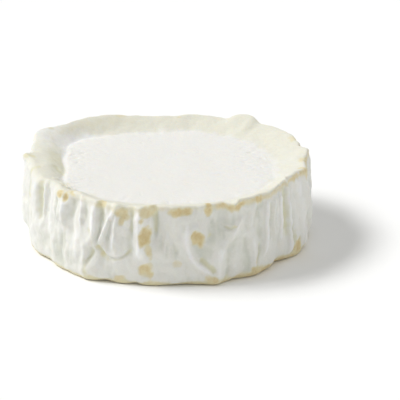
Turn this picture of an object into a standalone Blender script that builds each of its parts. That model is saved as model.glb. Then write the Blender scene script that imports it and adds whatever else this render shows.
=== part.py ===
"""A whole soft cheese with a white rind, lying flat: one solid, 110 mm across and 31 mm high at its rim.

The wheel is a stack of rings. The first ring is the edge of the flat base. Each next ring is extruded from
the last one and set to its place: round the foot, up the side wall, over the shoulder to the rim's crest, and
down the rim's inner slope to the sunken plateau. A last face closes the plateau.

Angles are in degrees about the wheel's axis, 0 along +X and -90 along -Y, which is the front. Sizes are in
millimetres until a ring is set in place, and the model is in metres, +Z up, standing on Z = 0.
"""

import bmesh
import bpy
import numpy as np

# Driving sizes, in millimetres.
MEAN_RADIUS = 53.8
RIM_HEIGHT = 31.3
PLATEAU_RADIUS = 43.5
PLATEAU_HEIGHT = 28.6
FOOT_RADIUS = 54.6
FOOT_ROUND = 1.8
WALL_BELLY = 0.5
SHOULDER_ROUND = 1.2
MM = 0.001

# Where the shoulder is rounder or crisper: middle angle, half width in degrees, and how much rounder.
SHOULDER_CHANGES = [
    (-160, 32, 1.5),
    (90, 70, 0.6),
    (178, 4.2, -0.8),
]

# On the left the rim's slope stays high and falls late: middle angle and half width in degrees.
FOLDED_SLOPE = (176, 34)
LATE_FALL = 1.7
EARLY_FALL = 1.6

# How much of a pleat's relief reaches the crest, outward and upward.
CREST_OUT = 0.4
CREST_UP = 0.06

# The wall meets the crest over this last share of its height, and the relief dies out to this share at the foot.
RIM_BLEND = 0.12
FOOT_RELIEF = 0.35

# Along a crease, this share of each end is tapered, and its lip reaches this many half widths.
CREASE_TAPER = 0.15
LIP_REACH = 4.0

# Edges that are bent more than this are sharp, in degrees.
SHARP_BEND = 50.0

# How finely the solid is divided.
COLUMNS = 288
FOOT_RINGS = 2
WALL_RINGS = 9
SHOULDER_RINGS = 2
SLOPE_RINGS = 4
NARROWEST_PLEAT = 1.1

# Swells of the rim: middle angle, half width in degrees, outward and upward in millimetres.
RIM_SWELLS = [
    (180, 14, 0.0, 0.3),
    (165, 6, 0.9, 0.0),
    (151, 9, 5.8, 1.5),
    (128, 22, 3.6, 2.5),
    (114, 8, 0.9, 0.4),
    (92, 12, -0.2, 0.7),
    (75, 12, 2.0, 0.9),
    (60.5, 3.2, 1.2, 1.7),
    (56.5, 2.8, 1.7, 1.9),
    (53.0, 2.6, 0.9, 1.8),
    (40, 22, 4.6, 0.8),
    (8, 5, 1.7, 1.4),
    (-12, 5, 1.2, 0.0),
    (-25, 13, -1.8, 0.9),
    (-63, 3, 1.6, -0.9),
    (-67, 3, -0.8, 0.2),
    (-93, 4, -1.2, 0.4),
    (-105, 11, 1.3, -0.3),
    (-130, 5, -1.6, 0.4),
    (-147, 6, -2.6, 0.0),
]

# Where the rim's outer edge is curled outward and up, or notched: middle angle, half width in degrees, outward
# and upward in millimetres. The slope behind it isn't moved.
RIM_CURLS = [
    (176.5, 3.6, 1.8, 0.9),
    (-29.5, 2.4, 0.3, 0.6),
    (-60.5, 2.4, 0.4, 0.5),
    (-109, 2.6, 0.3, 0.5),
]

# Where the foot's rounding is larger, so that the rind stands off the table: middle angle, half width in
# degrees, and how much larger.
FOOT_LIFTS = [
    (-115, 3.5, 2.0),
    (-102.5, 3.0, 1.8),
    (-86, 5, 1.0),
    (-60, 5.5, 2.0),
    (-38, 7, 2.2),
    (-134, 5, 0.8),
    (-150, 6, 0.8),
]

# Swells of the foot: middle angle, half width in degrees, outward in millimetres.
FOOT_SWELLS = [
    (135, 25, 2.0),
    (62, 10, 2.0),
    (30, 14, 1.2),
    (-22, 7, 0.8),
    (-37, 6, -1.6),
    (-57, 7, 1.8),
    (-71, 5, 2.6),
    (-93, 12, 0.4),
    (-124, 15, 1.5),
    (-120.5, 3.5, 1.0),
    (-147, 6, -1.4),
    (-176, 9, -1.2),
]

# Swells of the plateau's edge: middle angle, half width in degrees, outward in millimetres.
PLATEAU_SWELLS = [
    (141, 12, 5.0),
    (90, 18, -1.2),
    (5, 24, -3.4),
    (-48, 18, 1.5),
    (-150, 6, 0.8),
    (-176, 17, -3.8),
]

# Pleats of the side wall that show: angle at the top end and at the lower end, height of the top end and of the
# lower end, half width, and relief, which is outward for a ridge and inward, below 0, for a groove.
PLEATS = [
    (176, -178, 34, 5, 3.6, 2.2),
    (-170.5, -167.6, 33, 17, 1.6, -1.0),
    (-158.4, -156.0, 32, 17, 1.6, 0.5),
    (-154.0, -153.8, 31, 16, 1.6, -0.9),
    (-151.3, -151.0, 32, 18, 0.7, 1.0),
    (-150.0, -148.0, 31, 24, 0.6, -0.5),
    (-147.8, -145.2, 32, 14, 2.0, 1.1),
    (-140.8, -139.6, 28, 19, 0.7, -0.8),
    (-135.6, -135.2, 28, 15, 1.9, 0.8),
    (-130.4, -130.4, 30, 15, 1.7, -0.9),
    (-126.4, -125.5, 32, 21, 0.6, 1.0),
    (-124.2, -123.2, 31, 24, 0.7, -0.7),
    (-118.9, -119.0, 33, 14, 1.8, 1.9),
    (-122.8, -122.0, 15, 1, 1.3, 1.0),
    (-115.6, -117.0, 32, 16, 1.9, -1.3),
    (-108.3, -116.0, 33, 16, 0.9, 1.5),
    (-110.3, -113.2, 29, 17, 0.7, -0.7),
    (-108.0, -110.8, 31, 15, 0.6, 0.7),
    (-105.6, -106.6, 30, 14, 2.6, -0.5),
    (-102.4, -102.6, 31, 20, 0.8, -1.1),
    (-99.6, -99.9, 33, 12, 1.7, 1.5),
    (-93.6, -93.9, 31, 20, 0.9, -1.4),
    (-95.8, -96.0, 32, 25, 0.8, 0.6),
    (-86.0, -86.5, 26, 3, 4.0, -0.3),
    (-144.0, -144.0, 17, 5, 1.6, 0.5),
    (-136.0, -135.0, 19, 1, 3.4, -0.8),
    (-127.0, -126.0, 20, 1, 2.6, 0.8),
    (-60.0, -68.8, 25, 12, 1.6, 0.9),
    (-69.2, -69.2, 15, 2, 1.4, 0.6),
    (-65.5, -65.0, 14, 2, 1.2, -0.5),
    (-58.0, -57.0, 17, 3, 1.6, -0.7),
    (-54.5, -54.0, 16, 3, 1.4, 0.7),
    (-50.6, -50.8, 27, 15, 1.8, -0.6),
    (-46.0, -48.4, 28, 8, 1.0, 1.5),
    (-43.8, -45.0, 27, 12, 0.8, -0.9),
    (-41.9, -41.7, 28, 11, 0.7, 1.0),
    (-39.9, -39.7, 28, 10, 0.6, 0.8),
    (-37.2, -37.2, 29, 10, 0.7, 1.2),
    (-33.0, -33.0, 31, 8, 1.9, -0.7),
    (-30.4, -31.0, 33, 4, 0.8, 1.7),
    (-28.6, -28.8, 30, 1, 1.0, -1.4),
    (-25.0, -25.0, 30, 9, 1.2, 0.5),
    (-19.0, -19.0, 30, 9, 3.0, 0.7),
    (-2.0, -2.0, 21, 2, 9.0, 1.2),
    (-176.0, -176.0, 16, 7, 4.0, 1.4),
]
PLEAT_TAPER = 3.0
LOWER_TAPER = 5.0

# Creases of the side wall, each a smooth arc: angle and height of its start, pull and end, the lip that stands
# proud above it, the depth of its groove, which is a ridge where the depth is below 0, and its half width.
CREASES = [
    ((-116.8, 15.3), (-111.8, 5.4), (-102.4, 15.2), 0.4, 0.6, 0.8),
    ((-81.2, 25.0), (-84.0, 9.4), (-71.4, 5.0), 0.0, -1.1, 1.2),
    ((-77.2, 10.8), (-73.8, 9.6), (-70.8, 5.0), 0.0, 0.8, 0.9),
    ((-66.4, 22.4), (-64.2, 20.2), (-62.4, 22.6), 0.3, 0.5, 0.6),
    ((-50.4, 12.6), (-52.4, 8.0), (-53.4, 1.0), 0.2, 0.8, 0.6),
    ((-121.8, 21.0), (-116.6, 14.2), (-121.4, 7.2), 0.0, 0.8, 1.0),
    ((-120.6, 8.3), (-123.2, 4.6), (-121.2, 1.6), 0.0, 0.8, 1.0),
    ((-140.0, 34.0), (-135.0, 34.6), (-131.0, 33.2), 0.0, 0.6, 0.5),
]
CREASE_STEPS = 24

# The pleats of the side that doesn't show are drawn by a rule from these ranges.
BACK_SEED = 11
BACK_FIRST, BACK_LAST = 4.0, 164.0
BACK_COUNT = 24
BACK_RIDGE = (0.6, 1.4)
BACK_GROOVE = (-1.5, -0.7)
BACK_HALF_WIDTH = (0.9, 2.2)
BACK_LOWER_END = (2.0, 16.0)

# Finish of the rind.
RIND_COLOUR = (0.84, 0.83, 0.79, 1.0)
RIND_ROUGHNESS = 0.75


def clear_scene():
    for thing in list(bpy.data.objects):
        bpy.data.objects.remove(thing)


def smooth(x):
    """0 below 0, 1 above 1, and an even S-curve between them."""
    x = np.clip(x, 0.0, 1.0)
    return x * x * (3.0 - 2.0 * x)


def turn_between(angle, middle):
    """The turn from middle to angle, between -180 and 180 degrees."""
    return (angle - middle + 180.0) % 360.0 - 180.0


def swell(angle, middle, half_width):
    """A round hump, 1 at middle, that dies out past its half width."""
    return np.exp(-((turn_between(angle, middle) / half_width) ** 2))


def back_pleats():
    """Ridges and grooves in turn round the side that doesn't show."""
    draw = np.random.default_rng(BACK_SEED)
    pitch = (BACK_LAST - BACK_FIRST) / (BACK_COUNT - 1)
    pleats = []
    for number in range(BACK_COUNT):
        angle = BACK_FIRST + pitch * (number + draw.uniform(-0.3, 0.3))
        lean = draw.uniform(-2.0, 2.0)
        lower_end = draw.uniform(*BACK_LOWER_END)
        half_width = draw.uniform(*BACK_HALF_WIDTH)
        relief = draw.uniform(*(BACK_RIDGE if number % 2 else BACK_GROOVE))
        pleats.append((angle, angle + lean, RIM_HEIGHT, lower_end, half_width, relief))
    return pleats


ALL_PLEATS = PLEATS + back_pleats()


def rim_crest(angle):
    """Radius and height of the rim's crest at an angle."""
    radius = MEAN_RADIUS + sum(out * swell(angle, a, w) for a, w, out, up in RIM_SWELLS)
    height = RIM_HEIGHT + sum(up * swell(angle, a, w) for a, w, out, up in RIM_SWELLS)
    return radius, height


def foot_radius(angle):
    return FOOT_RADIUS + sum(out * swell(angle, a, w) for a, w, out in FOOT_SWELLS)


def plateau_radius(angle):
    return PLATEAU_RADIUS + sum(out * swell(angle, a, w) for a, w, out in PLATEAU_SWELLS)


def foot_round(angle):
    """Rounding of the foot, larger where the rind stands off the table."""
    return FOOT_ROUND + sum(more * swell(angle, a, w) for a, w, more in FOOT_LIFTS)


def shoulder_round(angle):
    """The shoulder is crisp, and softer on the left, where the rind was folded over, but not on its curl."""
    return SHOULDER_ROUND + sum(more * swell(angle, a, w) for a, w, more in SHOULDER_CHANGES)


def pleat_relief(angle, height):
    """Sum of all pleats: each is a round ridge or groove along a leaning line, tapered at its two ends."""
    relief = np.zeros_like(angle)
    for top_angle, low_angle, top, low, half_width, depth in ALL_PLEATS:
        share = np.clip((height - low) / (top - low), 0.0, 1.0)
        middle = low_angle + turn_between(top_angle, low_angle) * share
        off_line = np.radians(turn_between(angle, middle)) * MEAN_RADIUS
        width = max(half_width, NARROWEST_PLEAT)
        ends = smooth((height - low) / LOWER_TAPER + 0.5) * smooth((top - height) / PLEAT_TAPER + 0.5)
        relief = relief + depth * ends * np.exp(-((off_line / width) ** 2))
    return relief


def arc_point(start, pull, end, t):
    """A point along a smooth arc from start to end, drawn towards pull."""
    return tuple((1 - t) ** 2 * s + 2 * t * (1 - t) * p + t * t * e for s, p, e in zip(start, pull, end))


def crease_relief(angle, height):
    """Sum of all creases: a groove along each arc, with a lip above it where one fold lies over the next."""
    relief = np.zeros_like(angle)
    for start, pull, end, lip, depth, half_width in CREASES:
        lean = abs(end[0] - start[0]) / (abs(end[0] - start[0]) + abs(end[1] - start[1]))
        nearest = np.full_like(angle, np.inf)
        above = np.zeros_like(angle)
        along = np.zeros_like(angle)
        for step in range(CREASE_STEPS + 1):
            t = step / CREASE_STEPS
            arc_angle, arc_height = arc_point(start, pull, end, t)
            across = np.radians(turn_between(angle, arc_angle)) * MEAN_RADIUS
            up = height - arc_height
            distance = np.hypot(across, up)
            closer = distance < nearest
            nearest = np.where(closer, distance, nearest)
            above = np.where(closer, up * lean - across * (1.0 - lean), above)
            along = np.where(closer, t, along)
        ends = smooth(along / CREASE_TAPER) * smooth((1.0 - along) / CREASE_TAPER)
        fall = smooth(1.0 - nearest / (LIP_REACH * half_width))
        relief = relief - depth * ends * np.exp(-((nearest / half_width) ** 2))
        relief = relief + lip * ends * fall * smooth(above / half_width)
    return relief


def wall_relief(angle, height):
    """All that stands out of the side wall or is sunk in it. It dies out towards the base."""
    near_base = FOOT_RELIEF + (1.0 - FOOT_RELIEF) * smooth(height / (2.0 * FOOT_ROUND))
    return near_base * (pleat_relief(angle, height) + crease_relief(angle, height))


def crest_relief(angle):
    """How far the pleats and the curls move the crest: outward and up on a ridge, inward and down in a groove."""
    height = rim_crest(angle)[1]
    relief = wall_relief(angle, height - SHOULDER_ROUND)
    out = CREST_OUT * relief + sum(out * swell(angle, a, w) for a, w, out, up in RIM_CURLS)
    rise = CREST_UP * relief + sum(up * swell(angle, a, w) for a, w, out, up in RIM_CURLS)
    return out, rise


def crest(angle):
    """Radius and height of the crest as the pleats and the curls shape it."""
    radius, height = rim_crest(angle)
    out, rise = crest_relief(angle)
    return radius + out, height + rise


def foot_ring(angle, share):
    """From the base's edge, share 0, round the foot to the wall, share 1."""
    turn = share * np.pi / 2
    size = foot_round(angle)
    height = size * (1.0 - np.cos(turn))
    radius = foot_radius(angle) - size * (1.0 - np.sin(turn))
    return radius + wall_relief(angle, height), height


def wall_ring(angle, share):
    """From the foot, share 0, up the wall to the shoulder, share 1, with a slight belly."""
    crest_radius, crest_height = crest(angle)
    top = crest_height - shoulder_round(angle)
    low = foot_round(angle)
    height = low + (top - low) * share
    plain_rim = rim_crest(angle)[0]
    radius = foot_radius(angle) + (plain_rim - foot_radius(angle)) * smooth(share)
    radius = radius + WALL_BELLY * np.sin(np.pi * share)
    near_rim = smooth((share - 1.0 + RIM_BLEND) / RIM_BLEND)
    shaped = radius + wall_relief(angle, height)
    return shaped + (crest_radius - shaped) * near_rim, height


def shoulder_ring(angle, share):
    """From the wall's top, share 0, over the shoulder to the crest, share 1."""
    crest_radius, crest_height = crest(angle)
    turn = share * np.pi / 2
    size = shoulder_round(angle)
    return crest_radius - size * (1.0 - np.cos(turn)), crest_height - size * (1.0 - np.sin(turn))


def slope_ring(angle, share):
    """From the crest, share 0, down the rim's inner slope to the plateau's edge, share 1.

    The slope falls late on the left, where the rim is broad and round, and early elsewhere. The pleats and the
    curls shape only its upper part."""
    crest_radius, crest_height = rim_crest(angle)
    out, rise = crest_relief(angle)
    start = crest_radius - shoulder_round(angle)
    radius = start + (plateau_radius(angle) - start) * share + out * (1.0 - share) ** 3
    early = (smooth(share) + 1.0 - (1.0 - share) ** EARLY_FALL) / 2.0
    fall = early + (smooth(share**LATE_FALL) - early) * swell(angle, *FOLDED_SLOPE)
    return radius, crest_height + (PLATEAU_HEIGHT - crest_height) * fall + rise * (1.0 - share) ** 4


def rings():
    """The maker and the share of each ring, from the base's edge to the plateau's edge."""
    parts = [
        (foot_ring, FOOT_RINGS),
        (wall_ring, WALL_RINGS),
        (shoulder_ring, SHOULDER_RINGS),
        (slope_ring, SLOPE_RINGS),
    ]
    first = [(foot_ring, 0.0)]
    return first + [(maker, (n + 1) / count) for maker, count in parts for n in range(count)]


def place_ring(verts, maker, share):
    """Each vertex keeps its angle, and takes the radius and height that the maker gives there."""
    angle = np.array([np.degrees(np.arctan2(v.co.y, v.co.x)) for v in verts])
    radius, height = maker(angle, share)
    turn = np.radians(angle)
    for vert, x, y, z in zip(verts, radius * np.cos(turn), radius * np.sin(turn), height):
        vert.co = (x * MM, y * MM, z * MM)


def centre_in_plan(bm):
    """The origin is the centre of the wheel's box, at its flat base."""
    places = np.array([v.co for v in bm.verts])
    middle = (places.min(axis=0) + places.max(axis=0)) / 2
    bmesh.ops.translate(bm, verts=list(bm.verts), vec=(-middle[0], -middle[1], 0.0))


def wheel_mesh():
    """The rings, extruded one from the next, with a flat face at the base and one on the plateau."""
    bm = bmesh.new()
    bmesh.ops.create_circle(bm, cap_ends=False, segments=COLUMNS, radius=FOOT_RADIUS * MM)
    edges = list(bm.edges)
    stack = rings()
    place_ring(list(bm.verts), *stack[0])
    base = bmesh.ops.contextual_create(bm, geom=edges)["faces"]
    for maker, share in stack[1:]:
        grown = bmesh.ops.extrude_edge_only(bm, edges=edges)["geom"]
        edges = [part for part in grown if isinstance(part, bmesh.types.BMEdge) and part.is_boundary]
        place_ring([part for part in grown if isinstance(part, bmesh.types.BMVert)], maker, share)
    bmesh.ops.contextual_create(bm, geom=edges)
    centre_in_plan(bm)
    bmesh.ops.recalc_face_normals(bm, faces=list(bm.faces))
    assert len(base) == 1
    mesh = bpy.data.meshes.new("cheese_wheel")
    bm.to_mesh(mesh)
    bm.free()
    mesh.shade_smooth()
    mesh.set_sharp_from_angle(angle=np.radians(SHARP_BEND))
    return mesh


def rind_material():
    material = bpy.data.materials.new("white_rind")
    material.use_nodes = True
    shader = material.node_tree.nodes["Principled BSDF"]
    shader.inputs["Base Color"].default_value = RIND_COLOUR
    shader.inputs["Roughness"].default_value = RIND_ROUGHNESS
    shader.inputs["Metallic"].default_value = 0.0
    return material


def main():
    clear_scene()
    mesh = wheel_mesh()
    mesh.materials.append(rind_material())
    wheel = bpy.data.objects.new("cheese_wheel", mesh)
    bpy.context.scene.collection.objects.link(wheel)


main()
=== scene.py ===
"""The looks of a soft cheese with a white rind: its rind with every pleat, fold and patch, and the studio.

Run as a script. The rind's shape is worked out in millimetres about the wheel's own axis. Angles are in
degrees about that axis, 0 along +X and -90 along -Y, the front.
"""

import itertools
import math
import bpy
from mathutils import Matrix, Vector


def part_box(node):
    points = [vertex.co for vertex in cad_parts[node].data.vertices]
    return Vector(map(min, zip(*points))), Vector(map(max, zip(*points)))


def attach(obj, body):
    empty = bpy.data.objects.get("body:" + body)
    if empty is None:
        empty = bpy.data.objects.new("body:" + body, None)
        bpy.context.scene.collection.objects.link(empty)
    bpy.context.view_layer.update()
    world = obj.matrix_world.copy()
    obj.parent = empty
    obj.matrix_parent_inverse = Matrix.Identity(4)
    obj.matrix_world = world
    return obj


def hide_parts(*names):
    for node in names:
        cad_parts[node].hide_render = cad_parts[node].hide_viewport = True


bl_info = {
    "name": "Soft Cheese Wheel",
    "version": (1, 0, 0),
    "blender": (4, 5, 0),
    "location": "View3D > Sidebar > Cheese",
    "description": "Makes a soft cheese wheel with a pleated white rind, and a pale studio round it",
    "category": "Add Mesh",
}

import bpy
import numpy as np
from bpy.props import FloatProperty, FloatVectorProperty, PointerProperty
from mathutils import Vector

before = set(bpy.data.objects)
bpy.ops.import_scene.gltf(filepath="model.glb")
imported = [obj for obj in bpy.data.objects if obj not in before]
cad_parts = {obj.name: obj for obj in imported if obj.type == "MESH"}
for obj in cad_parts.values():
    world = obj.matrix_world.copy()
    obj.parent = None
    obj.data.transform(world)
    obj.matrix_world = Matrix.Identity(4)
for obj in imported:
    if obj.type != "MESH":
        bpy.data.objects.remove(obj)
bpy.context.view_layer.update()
WHEEL = "cheese_wheel"

MM = 0.001

# How finely the rind is divided. The top's square grid meets every column along its four sides.
COLUMNS = 720
TOP_CELLS = COLUMNS // 4
FOOT_ROWS = 5
WALL_ROWS = 48
SHOULDER_ROWS = 6
SLOPE_ROWS = 22
BASE_ROWS = 9
BASE_HUB = 4.0

# Swells of the rim: middle angle, half width in degrees, outward and upward in millimetres.
RIM_SWELLS = [
    (180, 14, 0.0, 0.3),
    (165, 6, 0.9, 0.0),
    (151, 9, 5.8, 1.5),
    (128, 22, 3.6, 2.5),
    (114, 8, 0.9, 0.4),
    (92, 12, -0.2, 0.7),
    (75, 12, 2.0, 0.9),
    (60.5, 3.2, 1.2, 1.7),
    (56.5, 2.8, 1.7, 1.9),
    (53.0, 2.6, 0.9, 1.8),
    (40, 22, 4.6, 0.8),
    (8, 5, 1.7, 1.4),
    (-12, 5, 1.2, 0.0),
    (-25, 13, -1.8, 0.9),
    (-63, 3, 1.6, -0.9),
    (-67, 3, -0.8, 0.2),
    (-93, 4, -1.2, 0.4),
    (-105, 11, 1.3, -0.3),
    (-130, 5, -1.6, 0.4),
    (-147, 6, -2.6, 0.0),
]

# Where the rim's outer edge is curled outward and up: middle angle, half width in degrees, outward and
# upward in millimetres. Of the slope behind it, only the edge moves.
RIM_CURLS = [
    (176.5, 3.6, 1.8, 0.9),
    (-29.5, 2.4, 0.3, 0.6),
    (-60.5, 2.4, 0.4, 0.5),
    (-109, 2.6, 0.3, 0.5),
]

# Swells of the foot: middle angle, half width in degrees, outward in millimetres.
FOOT_SWELLS = [
    (135, 25, 2.0),
    (62, 10, 2.0),
    (30, 14, 1.2),
    (-22, 7, 0.8),
    (-37, 6, -1.6),
    (-57, 7, 1.8),
    (-71, 5, 2.6),
    (-93, 12, 0.4),
    (-124, 15, 1.5),
    (-120.5, 3.5, 1.0),
    (-147, 6, -1.4),
    (-176, 9, -1.2),
]

# Swells of the plateau's edge: middle angle, half width in degrees, outward in millimetres.
PLATEAU_SWELLS = [
    (141, 12, 5.0),
    (90, 18, -1.2),
    (5, 24, -3.4),
    (-48, 18, 1.5),
    (-150, 6, 0.8),
    (-176, 17, -3.8),
]

# Swells of the edge of the top's white bloom, in the same way. It lies a little outside the plateau.
BLOOM_SWELLS = [
    (141, 12, 6.4),
    (90, 22, -0.4),
    (5, 26, -3.6),
    (-48, 20, 1.0),
    (-176, 17, -4.4),
]

# Pleats of the side wall that show: angle at the top end and at the lower end, height of the top end and of
# the lower end, half width, and relief, which is outward for a ridge and inward, below 0, for a groove.
PLEATS = [
    (176, -178, 34, 5, 3.6, 2.2),
    (-170.5, -167.6, 33, 17, 1.6, -1.0),
    (-158.4, -156.0, 32, 17, 1.6, 0.5),
    (-154.0, -153.8, 31, 16, 1.6, -0.9),
    (-151.3, -151.0, 32, 18, 0.7, 1.0),
    (-150.0, -148.0, 31, 24, 0.6, -0.5),
    (-147.8, -145.2, 32, 14, 2.0, 1.1),
    (-140.8, -139.6, 28, 19, 0.7, -0.8),
    (-135.6, -135.2, 28, 15, 1.9, 0.8),
    (-130.4, -130.4, 30, 15, 1.7, -0.9),
    (-126.4, -125.5, 32, 21, 0.6, 1.0),
    (-124.2, -123.2, 31, 24, 0.7, -0.7),
    (-118.9, -119.0, 33, 14, 1.8, 1.9),
    (-122.8, -122.0, 15, 1, 1.3, 1.0),
    (-115.6, -117.0, 32, 16, 1.9, -1.3),
    (-108.3, -116.0, 33, 16, 0.9, 1.5),
    (-110.3, -113.2, 29, 17, 0.7, -0.7),
    (-108.0, -110.8, 31, 15, 0.6, 0.7),
    (-105.6, -106.6, 30, 14, 2.6, -0.5),
    (-102.4, -102.6, 31, 20, 0.8, -1.1),
    (-99.6, -99.9, 33, 12, 1.7, 1.5),
    (-93.6, -93.9, 31, 20, 0.9, -1.4),
    (-95.8, -96.0, 32, 25, 0.8, 0.6),
    (-86.0, -86.5, 26, 3, 4.0, -0.3),
    (-144.0, -144.0, 17, 5, 1.6, 0.5),
    (-136.0, -135.0, 19, 1, 3.4, -0.8),
    (-127.0, -126.0, 20, 1, 2.6, 0.8),
    (-60.0, -68.8, 25, 12, 1.6, 0.9),
    (-69.2, -69.2, 15, 2, 1.4, 0.6),
    (-65.5, -65.0, 14, 2, 1.2, -0.5),
    (-58.0, -57.0, 17, 3, 1.6, -0.7),
    (-54.5, -54.0, 16, 3, 1.4, 0.7),
    (-50.6, -50.8, 27, 15, 1.8, -0.6),
    (-46.0, -48.4, 28, 8, 1.0, 1.5),
    (-43.8, -45.0, 27, 12, 0.8, -0.9),
    (-41.9, -41.7, 28, 11, 0.7, 1.0),
    (-39.9, -39.7, 28, 10, 0.6, 0.8),
    (-37.2, -37.2, 29, 10, 0.7, 1.2),
    (-33.0, -33.0, 31, 8, 1.9, -0.7),
    (-30.4, -31.0, 33, 4, 0.8, 1.7),
    (-28.6, -28.8, 30, 1, 1.0, -1.4),
    (-25.0, -25.0, 30, 9, 1.2, 0.5),
    (-19.0, -19.0, 30, 9, 3.0, 0.7),
    (-2.0, -2.0, 21, 2, 9.0, 1.2),
    (-176.0, -176.0, 16, 7, 4.0, 1.4),
]

# A pleat dies out over this height at its upper end and at its lower end. The section of a ridge or a
# groove is e to the power of minus its distance over its half width, raised to this power.
PLEAT_TAPER = 3.0
LOWER_TAPER = 5.0
RIDGE_POWER = 2.0
GROOVE_POWER = 1.5

# Creases of the side wall, each a smooth arc: angle and height of its start, pull and end, the lip that
# stands proud above it, the depth of its groove, or below 0 the height of its ridge, and its half width.
CREASES = [
    ((-116.8, 15.3), (-111.8, 5.4), (-102.4, 15.2), 0.4, 0.6, 0.8),
    ((-81.2, 25.0), (-84.0, 9.4), (-71.4, 5.0), 0.0, -1.1, 1.2),
    ((-77.2, 10.8), (-73.8, 9.6), (-70.8, 5.0), 0.0, 0.8, 0.9),
    ((-66.4, 22.4), (-64.2, 20.2), (-62.4, 22.6), 0.3, 0.5, 0.6),
    ((-50.4, 12.6), (-52.4, 8.0), (-53.4, 1.0), 0.2, 0.8, 0.6),
    ((-121.8, 21.0), (-116.6, 14.2), (-121.4, 7.2), 0.0, 0.8, 1.0),
    ((-120.6, 8.3), (-123.2, 4.6), (-121.2, 1.6), 0.0, 0.8, 1.0),
    ((-140.0, 34.0), (-135.0, 34.6), (-131.0, 33.2), 0.0, 0.6, 0.5),
]

# Points on each arc, the share of a crease that is tapered at each end, and how many half widths its lip
# reaches.
CREASE_STEPS = 24
CREASE_TAPER = 0.15
LIP_REACH = 4.0

# Tinted streaks of the side wall, each a smooth arc as above: its start, pull and end, its half width, how far
# its bloom is worn off, and how green it is. Where a streak runs along a groove, its green is painted shade.
STREAKS = [
    ((-117.2, 15.0), (-115.6, 11.0), (-112.0, 10.2), 1.4, 0.45, 0.8),
    ((-113.0, 9.9), (-107.6, 8.8), (-102.4, 15.2), 0.7, 0.05, 0.6),
    ((-121.6, 21.0), (-116.4, 14.4), (-121.2, 7.2), 1.1, 0.1, 0.6),
    ((-120.8, 8.6), (-123.4, 4.6), (-120.6, 1.0), 1.4, 0.2, 0.8),
    ((-119.0, 29.6), (-118.0, 30.0), (-116.6, 29.4), 1.2, 0.12, 0.5),
    ((-77.0, 10.4), (-73.8, 9.2), (-71.2, 5.0), 1.2, 0.1, 0.9),
    ((-74.2, 18.8), (-73.2, 19.2), (-72.2, 20.2), 0.6, 0.15, 0.8),
    ((-66.4, 22.4), (-64.4, 20.6), (-62.4, 22.4), 0.8, 0.35, 0.8),
    ((-50.6, 12.8), (-51.2, 12.4), (-52.0, 12.0), 0.8, 0.3, 0.9),
    ((-52.0, 10.0), (-53.2, 6.3), (-54.2, 2.5), 1.0, 0.6, 0.7),
    ((-32.8, 30.0), (-33.0, 20.0), (-33.0, 10.0), 1.9, 0.0, 0.7),
    ((-28.6, 17.0), (-28.8, 10.0), (-29.0, 3.6), 0.9, 0.15, 0.8),
    ((-27.4, 12.0), (-27.2, 9.0), (-26.8, 6.0), 1.0, 0.25, 0.85),
    ((-171.0, 31.4), (-161.5, 28.0), (-168.0, 17.0), 2.4, 0.25, 1.0),
    ((-183.8, 32.5), (-182.6, 32.1), (-180.4, 31.7), 0.9, 0.45, 1.0),
    ((-154.6, 30.5), (-154.8, 24.0), (-154.8, 15.0), 1.8, 0.04, 0.5),
    ((-141.0, 34.2), (-135.0, 35.2), (-130.0, 33.8), 0.5, 0.3, 0.7),
    ((-102.6, 29.5), (-102.8, 25.0), (-103.0, 21.0), 0.7, 0.0, 0.3),
    ((-94.0, 29.0), (-94.0, 25.0), (-94.0, 21.0), 0.8, 0.05, 0.45),
]

# Painted highlights along lit ridges and lips, each a smooth arc as above: its start, pull and end, its half width
# and how strong the painted highlight is.
WHITE_LINES = [
    ((-81.4, 24.5), (-84.2, 9.4), (-71.8, 5.0), 0.9, 1.0),
    ((-69.6, 14.0), (-69.8, 8.0), (-69.6, 3.0), 1.1, 0.6),
    ((-62.8, 21.0), (-66.0, 17.0), (-68.8, 13.0), 0.9, 0.5),
]

# A streak or a white line fades over this share of its length at each end, from this much at the very end.
STREAK_FADE = 0.1
STREAK_END = 0.3

# The pleats of the side that doesn't show are drawn by a rule from these ranges.
BACK_SEED = 11
BACK_FIRST, BACK_LAST = 4.0, 164.0
BACK_COUNT = 24
BACK_RIDGE = (0.6, 1.4)
BACK_GROOVE = (-1.5, -0.7)
BACK_HALF_WIDTH = (0.9, 2.2)
BACK_LOWER_END = (2.0, 16.0)
BACK_SHIFT = (-0.3, 0.3)
BACK_LEAN = (-2.0, 2.0)

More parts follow.
